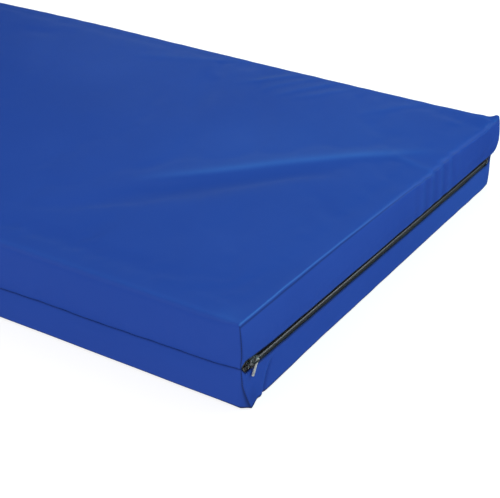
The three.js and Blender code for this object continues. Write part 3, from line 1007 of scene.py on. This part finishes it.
@once
def material_tape(name):
    """Woven zip tape: a fine twill from the tape's own length and width, in metres, with a slubby tone."""
    base = colours().tape
    f = Finish(name, IOR=1.45, Specular_IOR_Level=0.3, Sheen_Weight=0.15)
    run = f.layer("run", "Vector")
    parts = f.node("ShaderNodeSeparateXYZ", None, {0: run})
    across = Socket(f, parts.socket.node.outputs[1])
    warp = (across * (2 * math.pi / 0.0007)).sine()
    twill = ((parts + across * 1.3) * (2 * math.pi / 0.0011)).sine()
    slub = f.noise(f.place(), 240.0, 3.0)
    weave = (warp * 0.5 + 0.5) * (twill * 0.5 + 0.5)
    tone = f.mix(weave * 0.7 + slub * 0.3, shade(base, 0.55), shade(base, 1.9, (1.04, 1.02, 0.96)))
    # dust and painted light on the lower tape and the leaf; the upper tape stays dark as painted shade
    tone = f.mix(f.layer("dust") * (0.5 + slub * 0.4), tone, (0.100, 0.115, 0.145, 1))
    tone = f.mix(f.layer("worn") * (0.65 + slub * 0.35), tone, (0.24, 0.23, 0.19, 1))
    return f.set(Base_Color=tone, Roughness=0.72 + slub * 0.16, Normal=f.bump(weave, 0.00022, 0.8))


@once
def material_coil(name):
    """Nylon monofilament: smooth, a little waxy, with a painted highlight along the crowns of its turns, and
    dust and painted light on the lower coil.
    """
    base = colours().coil
    f = Finish(name, IOR=1.53, Specular_IOR_Level=0.3)
    where = f.place()
    rub = f.noise(where, 160.0, 3.0)
    tone = f.mix(rub, shade(base, 0.7), shade(base, 1.3, (1.03, 1.02, 1)))
    # dust and painted light on the lower coil; the upper coil stays dark as painted shade
    tone = f.mix(f.layer("dust") * (0.35 + rub * 0.5), tone, (0.085, 0.098, 0.120, 1))
    # painted highlight along the crowns of the coil's turns
    tone = f.mix(f.layer("crown"), tone, (0.86, 0.88, 0.92, 1))
    return f.set(
        Base_Color=tone, Roughness=0.24 + rub * 0.18, Normal=f.bump(f.noise(where, 1900.0), 0.00003, 0.5)
    )


def metal_finish(name, base, metallic, rough):
    """Plated zinc: fine rubbing marks along the zip's length, patches of duller plating, and bright
    specks painted in as glints."""
    f = Finish(name, Metallic=metallic, Specular_IOR_Level=0.6)
    streaks = f.noise(f.place((1.0, 0.12, 1.0)), 2600.0, 3.0)
    patch = f.noise(f.place(), 420.0, 4.0, 0.6)
    tone = f.mix(patch, shade(base, 0.55), shade(base, 1.25))
    # bright specks painted into the colour as glints
    painted_glints = f.ramp(f.noise(f.place(), 300.0, 1.5), (0.53, (0, 0, 0, 1)), (0.60, (1, 1, 1, 1)))
    tone = f.mix(painted_glints, tone, shade(base, 6.0))
    return f.set(
        Base_Color=tone, Roughness=rough + patch * 0.20 + streaks * 0.10,
        Normal=f.bump(streaks, 0.00002, 0.5),
    )


@once
def material_steel(name):
    return metal_finish(name, colours().steel, 0.45, 0.20)


@once
def material_gunmetal(name):
    return metal_finish(name, colours().gunmetal, 0.55, 0.16)


def thread_finish(name, base):
    """Twisted thread: fine plies across the stitch and a soft sheen."""
    f = Finish(name, IOR=1.5, Specular_IOR_Level=0.35, Sheen_Weight=0.2)
    plies = f.node(
        "ShaderNodeTexWave", {"bands_direction": "DIAGONAL"},
        {"Vector": f.place(), "Scale": 900.0, "Distortion": 0.6},
    )
    fuzz = f.noise(f.place(), 1400.0, 3.0)
    tone = f.mix(plies * 0.7 + fuzz * 0.3, shade(base, 0.55), shade(base, 1.6))
    return f.set(Base_Color=tone, Roughness=0.55 + fuzz * 0.2, Normal=f.bump(plies, 0.00012, 0.7))


@once
def material_thread_blue(name):
    return thread_finish(name, colours().thread)


@once
def material_thread_black(name):
    return thread_finish(name, colours().tape)


def foam_finish(name, base, cell):
    """Open-cell foam: rounded pores over finer ones, and a slightly yellowed tone."""
    f = Finish(name, IOR=1.4, Specular_IOR_Level=0.2)
    where = f.place()
    pores = f.cells(where, 1.0 / cell, "SMOOTH_F1")
    specks = f.cells(where, 2.6 / cell)
    aged = f.noise(where, 5.0, 3.0)
    tone = f.mix(aged * 0.6 + pores * 0.4, shade(base, 0.72, (1, 0.98, 0.9)), shade(base, 1.12))
    return f.set(
        Base_Color=tone, Roughness=0.86 + specks * 0.1,
        Normal=f.bump(pores * 0.7 + specks * 0.3, cell * 0.4, 0.8)
    )


@once
def material_foam_soft(name):
    return foam_finish(name, colours().foam_soft, 0.0016)


@once
def material_foam_firm(name):
    return foam_finish(name, colours().foam_firm, 0.0011)


@once
def material_floor(name):
    """Matt white studio floor with the faintest mottle."""
    f = Finish(name, Specular_IOR_Level=0.1, Emission_Color=(1, 1, 1, 1), Emission_Strength=0.80)
    mottle = f.noise(f.place(), 2.0, 2.0)
    tone = f.mix(mottle, (0.34, 0.34, 0.34, 1), (0.36, 0.36, 0.36, 1))
    return f.set(Base_Color=tone, Roughness=0.95)


# ---------------------------------------------------------------- operators


class LandingMatStep:
    bl_options = {"REGISTER"}


FLOOR_REACH = 30.0
FLOOR_LINES = 25
FLOOR_DROP = 0.0006  # keeps the floor clear of the mat's underside
CAMERA_PLACE = (END + 0.93345, -SIDE - 1.4295, 1.2384)
CAMERA_DOWN, CAMERA_TURN = math.radians(29.25), math.radians(32.66)
CAMERA_LENS, CAMERA_SENSOR = 98.4, 36.0
WORLD_LIGHT = 0.72
# Soft lights: name, place, aim, width and height, power and tint.
SOFTBOXES = (
    ("softbox_top", (1.5, 0.9, 1.9), (0.85, 0.3, 0.1), (1.2, 1.0), 13.5, (0.12, 1.0, 0.75)),
    ("softbox_end", (2.5, 2.0, 1.7), (0.9, 0.1, 0.1), (1.3, 1.0), 15, (0.88, 1.0, 0.98)),
    ("softbox_side", (-1.6, -2.4, 2.8), (0.2, -0.3, 0.1), (2.2, 1.6), 14, (1, 1, 1)),
    ("softbox_back", (-1.6, 4.2, 1.0), (0.2, 0.2, 0.1), (3.2, 0.6), 6, (0.7, 1.0, 1.0)),
)


class LANDINGMAT_OT_stage(LandingMatStep, bpy.types.Operator):
    """Floor, soft lights and camera"""

    bl_idname = "landing_mat.stage"
    bl_label = "Stage"

    def floor(self):
        """A disc-like floor: the points (u, v) of a square drawn to a circle, (u sqrt(1 - v^2/2),
        v sqrt(1 - u^2/2)) times the reach. It and the world stay out of the gloss."""
        u = np.linspace(-1, 1, FLOOR_LINES)
        gx, gy = np.meshgrid(u, u, indexing="ij")
        px, py = gx * np.sqrt(1 - gy**2 / 2) * FLOOR_REACH, gy * np.sqrt(1 - gx**2 / 2) * FLOOR_REACH
        points = np.stack([px, py, np.full_like(px, -FLOOR_DROP)], axis=-1)
        quads = [lattice_faces(FLOOR_LINES, FLOOR_LINES, flip=True)]
        floor = new_piece("studio_floor", points, quads, material_floor())
        floor.visible_glossy = False

    def camera(self, scene):
        """The camera, above and beside the zip's closed end, looking down along the mat."""
        camera = bpy.data.objects.new("studio_camera", bpy.data.cameras.new("studio_camera"))
        scene.collection.objects.link(camera)
        camera.data.lens = CAMERA_LENS
        camera.data.sensor_width = CAMERA_SENSOR
        camera.data.clip_end = 200
        camera.location = CAMERA_PLACE
        camera.rotation_euler = (math.pi / 2 - CAMERA_DOWN, 0, CAMERA_TURN)
        scene.camera = camera

    def world(self, scene):
        """An even white world."""
        world = bpy.data.worlds.new("studio_world")
        world.use_nodes = True
        background = world.node_tree.nodes["Background"]
        background.inputs["Color"].default_value = (1, 1, 1, 1)
        background.inputs["Strength"].default_value = WORLD_LIGHT
        world.cycles_visibility.glossy = False
        scene.world = world

    def softbox(self, scene, name, place, aim, size, power, tint):
        """A rectangular soft light at a place, turned towards its aim."""
        lamp = bpy.data.lights.new(name, "AREA")
        lamp.shape, lamp.energy, lamp.color = "RECTANGLE", power, tint
        lamp.size, lamp.size_y = size
        light = bpy.data.objects.new(name, lamp)
        scene.collection.objects.link(light)
        light.location = place
        way = Vector(aim) - Vector(place)
        light.rotation_euler = way.to_track_quat("-Z", "Y").to_euler()

    def execute(self, context):
        scene = context.scene
        self.floor()
        self.camera(scene)
        self.world(scene)
        scene.view_settings.view_transform = "Standard"
        scene.view_settings.look = "None"
        for softbox in SOFTBOXES:
            self.softbox(scene, *softbox)
        return {"FINISHED"}


class LANDINGMAT_OT_covers(LandingMatStep, bpy.types.Operator):
    """Upper and lower vinyl covers, with their seam allowances and zip hems"""

    bl_idname = "landing_mat.covers"
    bl_label = "Covers"

    def execute(self, context):
        for name, slab in (("upper", "foam_slab_firm"), ("lower", "foam_slab_soft")):
            piece = thicken(cover(name == "upper"), sizes().sheet)
            ride(piece, "mat", "vinyl", name + "_cover")
            rise = SKIRT[name] + ALLOWANCE
            cut = (2 * (SIDE + rise), 2 * (END + rise))
            area = cut[0] * cut[1] - 4 * rise**2
        return {"FINISHED"}


def zip_path(y, lift, out, upper):
    """Points beside the chain: lift from its middle, up for the upper half and down for the lower, and out
    from the end's plane."""
    y = np.asarray(y, float)
    return np.stack([END + out + y * 0, y, zip_height(y) + (lift if upper else -lift)], axis=-1)


TAPE_LINES = np.array([1.0, 1.6, 2.4, 3.6, 5.0, 6.5, 8.0, 9.5, 12.0, 15.5, 19.0]) * MM  # from the chain
TAPE_THICKNESS = 0.0005
COIL_STEPS = 10  # points on one turn of the coil
COIL_GIRTH = 0.00034  # radius of the coil's wire
LOWER_DUST_AND_LIGHT = 0.9  # share of dust and painted light on the lower half of the zip; the upper half stays dark as painted shade


class LANDINGMAT_OT_zip(LandingMatStep, bpy.types.Operator):
    """Zip tapes, coils, stops and bar tacks"""

    bl_idname = "landing_mat.zip"
    bl_label = "Zip"

    def tape(self, upper):
        """A strip: y runs along it, v across it from the coil to the outer edge. It lies back under the
        hem, and near the closed corner its inner edge parts into a leaf."""
        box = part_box("zipper_tape_upper" if upper else "zipper_tape_lower")
        y = np.linspace(box[0].y, box[1].y, 330)
        v = TAPE_LINES
        gy, gv = np.meshgrid(y, v, indexing="ij")
        near = gy + SIDE
        part = 0.0017 * bell(near - 0.0135, 0.0055) * (1 - smoothstep(0.001, 0.009, gv))
        back = -0.0016 - 0.0011 * smoothstep(0.0055, 0.009, gv)
        cup = -0.0016 * bell(near - 0.012, 0.008) * (1 - smoothstep(0.001, 0.006, gv))
        sag = 0.00008 * soft_waves(gy, gv, 0.05, 41 if upper else 42)
        far = SIDE - gy
        slack = 0.0115 * (1 - smoothstep(-0.002, 0.0192, far))
        points = zip_path(gy, gv + part, back + cup + sag + slack, upper)
        at_ends = 1 - smoothstep(0.004, 0.0195, np.minimum(near, far))
        points[..., 2] += (slot_middle(gy) - zip_height(gy)) * at_ends
        worn = bell(near - 0.009, 0.009) * smoothstep(0.0012, 0.0034, gv)
        # dust and painted light: on the lower tape, and on the leaf near the closed corner
        dust = (0 if upper else LOWER_DUST_AND_LIGHT) + bell(near - 0.010, 0.009)
        layers = {
            "run": np.stack([gy, gv, gv * 0], axis=-1).reshape(-1, 3),
            "worn": worn.ravel(), "dust": dust.ravel().clip(0, 1.2),
        }
        name = "tape_upper" if upper else "tape_lower"
        quads = [lattice_faces(len(y), len(v), flip=upper)]
        piece = new_piece(name, points, quads, material_tape(), layers)
        thicken(piece, TAPE_THICKNESS)
        ride(piece, "mat", "zip_tape", "zipper_" + name)

    def coil(self, upper):
        """A flattened helix along the tape's edge: c + a cos for its reach, with the cosine squared off a
        little, b sin for its depth, one pitch for each turn, as a thin four-sided tube."""
        name = "coil_upper" if upper else "coil_lower"
        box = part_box("zipper_" + name)
        pitch = sizes().coil_pitch
        turns = int((box[1].y - box[0].y) / pitch)
        k = np.arange(turns * COIL_STEPS + 1)
        turn = 2 * math.pi * k / COIL_STEPS + (0 if upper else math.pi)
        y = box[0].y + pitch * k / COIL_STEPS
        reach = 0.0027 + 0.0024 * np.sign(np.cos(turn)) * np.abs(np.cos(turn)) ** 0.8
        deep = 0.0006 + 0.0013 * np.sin(turn)
        path = zip_path(y, reach, deep, upper)
        along = frames_along(path)
        out = np.stack([np.sin(turn), 0 * turn, np.cos(turn) * (1 if upper else -1)], axis=1)
        out -= (out * along).sum(1)[:, None] * along
        out /= np.linalg.norm(out, axis=1)[:, None]
        across = np.cross(along, out)
        ring = np.linspace(0, 2 * math.pi, 4, endpoint=False)[None, :, None]
        points = path[:, None] + COIL_GIRTH * (np.cos(ring) * out[:, None] + np.sin(ring) * across[:, None])
        faces = [lattice_faces(len(path), 4, wrap=True, flip=True)]
        last = (len(path) - 1) * 4
        faces.append(np.array([[3, 2, 1, 0], [last, last + 1, last + 2, last + 3]])[:, ::-1])
        # painted highlight: the crowns of the turns nearest the chain's middle, fading towards the far end
        crown = (
            bell(reach - 0.0003, 0.00050) * smoothstep(-0.0004, 0.0008, deep)
            * (1 - 0.60 * smoothstep(0.3, 0.8, y + SIDE))
        )
        # dust and painted light on the lower coil only
        dust = np.full_like(crown, 0.0 if upper else LOWER_DUST_AND_LIGHT)
        layers = {"crown": np.repeat(crown, 4), "dust": np.repeat(dust, 4)}
        piece = new_piece(name, points, faces, material_coil(), layers)
        ride(piece, "mat", "zip_nylon", "zipper_" + name)

    def bar_tack(self, end):
        """Seven close rows of upright stitches over the CAD bar tack's front."""
        low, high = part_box("bar_tack_" + end)
        z = np.linspace(low.z + 0.0004, high.z - 0.0004, 9)
        rows = [
            np.stack([np.full_like(z, high.x + 0.0001), np.full_like(z, y), z], axis=-1)
            for y in np.linspace(low.y, high.y, 7)
        ]
        outs = [np.array([1.0, 0, 0])] * len(rows)
        piece = stitch_row(
            "bar_tack_stitches_" + end, rows, outs, 0.0027, TACK_THREAD, material_thread_black(), gap=0.05
        )
        ride(piece, "mat", "thread_black", "bar_tack_" + end)

    def execute(self, context):
        for upper in (True, False):
            self.tape(upper)
            self.coil(upper)
        for node in ("top_stop_upper", "top_stop_lower", "bottom_stop"):
            finish_node(node, material_gunmetal(), 0.0003)
        self.bar_tack("near")
        self.bar_tack("far")
        return {"FINISHED"}


def finish_node(name, material, bevel):
    """Gives a CAD node its finish, and softens its edges with a live bevel over welded corners."""
    node = frame["nodes"][name]
    node.data.materials.clear()
    node.data.materials.append(material)
    weld = node.modifiers.new("Weld", "WELD")
    weld.merge_threshold = 1e-6
    soft = node.modifiers.new("Bevel", "BEVEL")
    soft.width, soft.segments, soft.limit_method, soft.angle_limit = bevel, 2, "ANGLE", math.radians(35)
    soft.harden_normals = False
    return node


class LANDINGMAT_OT_slider(LandingMatStep, bpy.types.Operator):
    """Zip slider and its pull tab"""

    bl_idname = "landing_mat.slider"
    bl_label = "Slider and pull"

    def execute(self, context):
        finish_node("slider_body", material_gunmetal(), 0.0004)
        finish_node("pull_tab", material_steel(), 0.00025)
        return {"FINISHED"}


class LANDINGMAT_OT_stitching(LandingMatStep, bpy.types.Operator):
    """Stitch rows of the side seams, the upright corners and the zip's hems"""

    bl_idname = "landing_mat.stitching"
    bl_label = "Stitching"

    def row(self, name, paths, outs, radius, *nodes):
        """Blue stitches along some paths, in the place of the CAD threads."""
        piece = stitch_row(name, paths, outs, sizes().stitch_pitch, radius, material_thread_blue())
        ride(piece, "mat", "thread_blue", *nodes)

    def hem(self, upper):
        """The row along a hem of the zip, just on top of the cover."""
        name = "upper" if upper else "lower"
        y = np.linspace(-SIDE + 0.014, SIDE - 0.014, 260)
        z = slot_middle(y) + (1 if upper else -1) * (slot_half(y, upper) + 0.0030)
        path, n = drape(np.full_like(y, END), y, z, upper)
        self.row("hem_stitches_" + name, [path + n * 0.00012], [n], HEM_THREAD, "zip_stitch_" + name)

    def seam(self, name, x, y, node):
        """The row in the seam between the covers along one side: it follows the upper cover a little above
        the seam, and lies in and down from there."""
        x, y = np.broadcast_arrays(x, y)
        above = 0.0017
        path, n = drape(x, y, seam_height(x, y) + above, True)
        path = path - n * 0.0016 - np.array([0, 0, above])
        self.row("seam_stitches_" + name, [path], [n], SEAM_THREAD, node)

    def corners(self, upper):
        """The rows of the four upright corner seams of one cover."""
        level = "upper" if upper else "lower"
        paths, outs, nodes = [], [], []
        for end, x in (("zip", END), ("back", -END)):
            for side, y in (("near", -SIDE), ("far", SIDE)):
                seam = float(seam_height(x, y))
                low, high = (seam + 0.006, COVER_TOP - 0.010) if upper else (0.008, seam - 0.006)
                z = np.linspace(low, high, 30)
                path, _ = drape(np.full_like(z, x), np.full_like(z, y), z, upper)
                out = np.tile([math.copysign(0.7071, x), math.copysign(0.7071, y), 0], (len(z), 1))
                paths.append(path - out * 0.0004)
                outs.append(out)
                nodes.append(f"corner_thread_{end}_{side}_{level}")
        self.row("corner_stitches_" + level, paths, outs, SEAM_THREAD, *nodes)

    def execute(self, context):
        self.hem(True)
        self.hem(False)
        x = np.linspace(-END + 0.006, END - 0.006, 400)
        self.seam("near", x, -SIDE, "seam_thread_near_side")
        self.seam("far", x, SIDE, "seam_thread_far_side")
        self.seam("back", -END, np.linspace(-SIDE + 0.006, SIDE - 0.006, 220), "seam_thread_back_end")
        self.corners(True)
        self.corners(False)
        return {"FINISHED"}


FOAM_INSET = np.array([0.006, 0.006, 0.0])  # room between the slabs and the cover's turned-in edges
FOAM_ROUND = np.array([0.012, 0.012, 0.004])
FOAM_RIM = np.array([0, 1.5, 3.5, 6.5, 11, 18]) * MM


class LANDINGMAT_OT_foam(LandingMatStep, bpy.types.Operator):
    """Soft and firm foam slabs of the core"""

    bl_idname = "landing_mat.foam"
    bl_label = "Foam core"

    def slab(self, name, node, material, slot, fill):
        """A slab as a soft box: each point of a sharp grid box is clamped into the box drawn in by a
        radius, and pushed out from there by it, with a faint cut waviness."""
        low, high = (np.array(v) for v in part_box(node))
        low, high = low + FOAM_INSET, high - FOAM_INSET
        low[2] += 0.003 if node == "foam_base" else 0.0
        high[2] -= 0.004 if node == "foam_top_layer" else 0.0
        half, middle = (high - low) / 2, (high + low) / 2
        xs, ys = grid_lines(half[0], FOAM_RIM, 0.03), grid_lines(half[1], FOAM_RIM, 0.03)
        zs = np.linspace(-half[2], half[2], 9)
        around = ring_of(len(xs), len(ys))
        gx, gy = (g.ravel() for g in np.meshgrid(xs, ys, indexing="ij"))
        bx, by = gx[around], gy[around]
        wall = np.stack(
            [np.tile(bx, len(zs) - 2), np.tile(by, len(zs) - 2), np.repeat(zs[1:-1], len(bx))], axis=1
        )
        top = np.stack([gx, gy, np.full_like(gx, half[2])], axis=1)
        bottom = np.stack([gx, gy, np.full_like(gx, -half[2])], axis=1)
        points = np.concatenate([top, bottom, wall])
        q = np.clip(points, -half + FOAM_ROUND, half - FOAM_ROUND)
        n = (points - q) / FOAM_ROUND
        n /= np.maximum(np.linalg.norm(n, axis=1), 1e-9)[:, None]
        points = q + n * FOAM_ROUND
        points[:, 2] += 0.0003 * soft_waves(points[:, 0], points[:, 1], 0.12, 51) * np.abs(n[:, 2])
        points += middle
        grid = len(xs) * len(ys)
        rows = np.concatenate([
            around[None],
            (2 * grid + np.arange(len(wall))).reshape(len(zs) - 2, -1)[::-1],
            around[None] + grid,
        ])
        a, b = rows[:-1], rows[1:]
        quads = np.stack([b, np.roll(b, -1, 1), np.roll(a, -1, 1), a], axis=-1).reshape(-1, 4)
        faces = [
            lattice_faces(len(xs), len(ys), flip=True),
            lattice_faces(len(xs), len(ys), first=grid),
            quads,
        ]
        piece = new_piece(name, points, faces, material)
        ride(piece, "mat", slot, node)

    def execute(self, context):
        self.slab("foam_slab_soft", "foam_base", material_foam_soft(), "foam_soft", 0.8)
        self.slab("foam_slab_firm", "foam_top_layer", material_foam_firm(), "foam_firm", 1.0)
        return {"FINISHED"}


STEPS = (
    LANDINGMAT_OT_stage,
    LANDINGMAT_OT_foam,
    LANDINGMAT_OT_covers,
    LANDINGMAT_OT_zip,
    LANDINGMAT_OT_slider,
    LANDINGMAT_OT_stitching,
)


class LANDINGMAT_PT_panel(bpy.types.Panel):
    """Steps, sizes and colours of the landing mat"""

    bl_idname = "LANDINGMAT_PT_panel"
    bl_label = "Landing Mat"
    bl_space_type = "VIEW_3D"
    bl_region_type = "UI"
    bl_category = "Landing Mat"

    def draw(self, context):
        for step in STEPS:
            self.layout.operator(step.bl_idname, text=step.bl_label)
        for group in (context.scene.landing_mat_sizes, context.scene.landing_mat_colours):
            column = self.layout.column(align=True)
            for name in group.__annotations__:
                column.prop(group, name)


CLASSES = (LANDINGMAT_PG_sizes, LANDINGMAT_PG_colours, *STEPS, LANDINGMAT_PT_panel)


def register():
    for cls in CLASSES:
        bpy.utils.register_class(cls)
    bpy.types.Scene.landing_mat_sizes = bpy.props.PointerProperty(type=LANDINGMAT_PG_sizes)
    bpy.types.Scene.landing_mat_colours = bpy.props.PointerProperty(type=LANDINGMAT_PG_colours)


def unregister():
    del bpy.types.Scene.landing_mat_colours
    del bpy.types.Scene.landing_mat_sizes
    for cls in reversed(CLASSES):
        bpy.utils.unregister_class(cls)


def main():
    register()
    for step in STEPS:
        group, name = step.bl_idname.split(".")
        getattr(getattr(bpy.ops, group), name)()


if __name__ == "__main__":
    main()
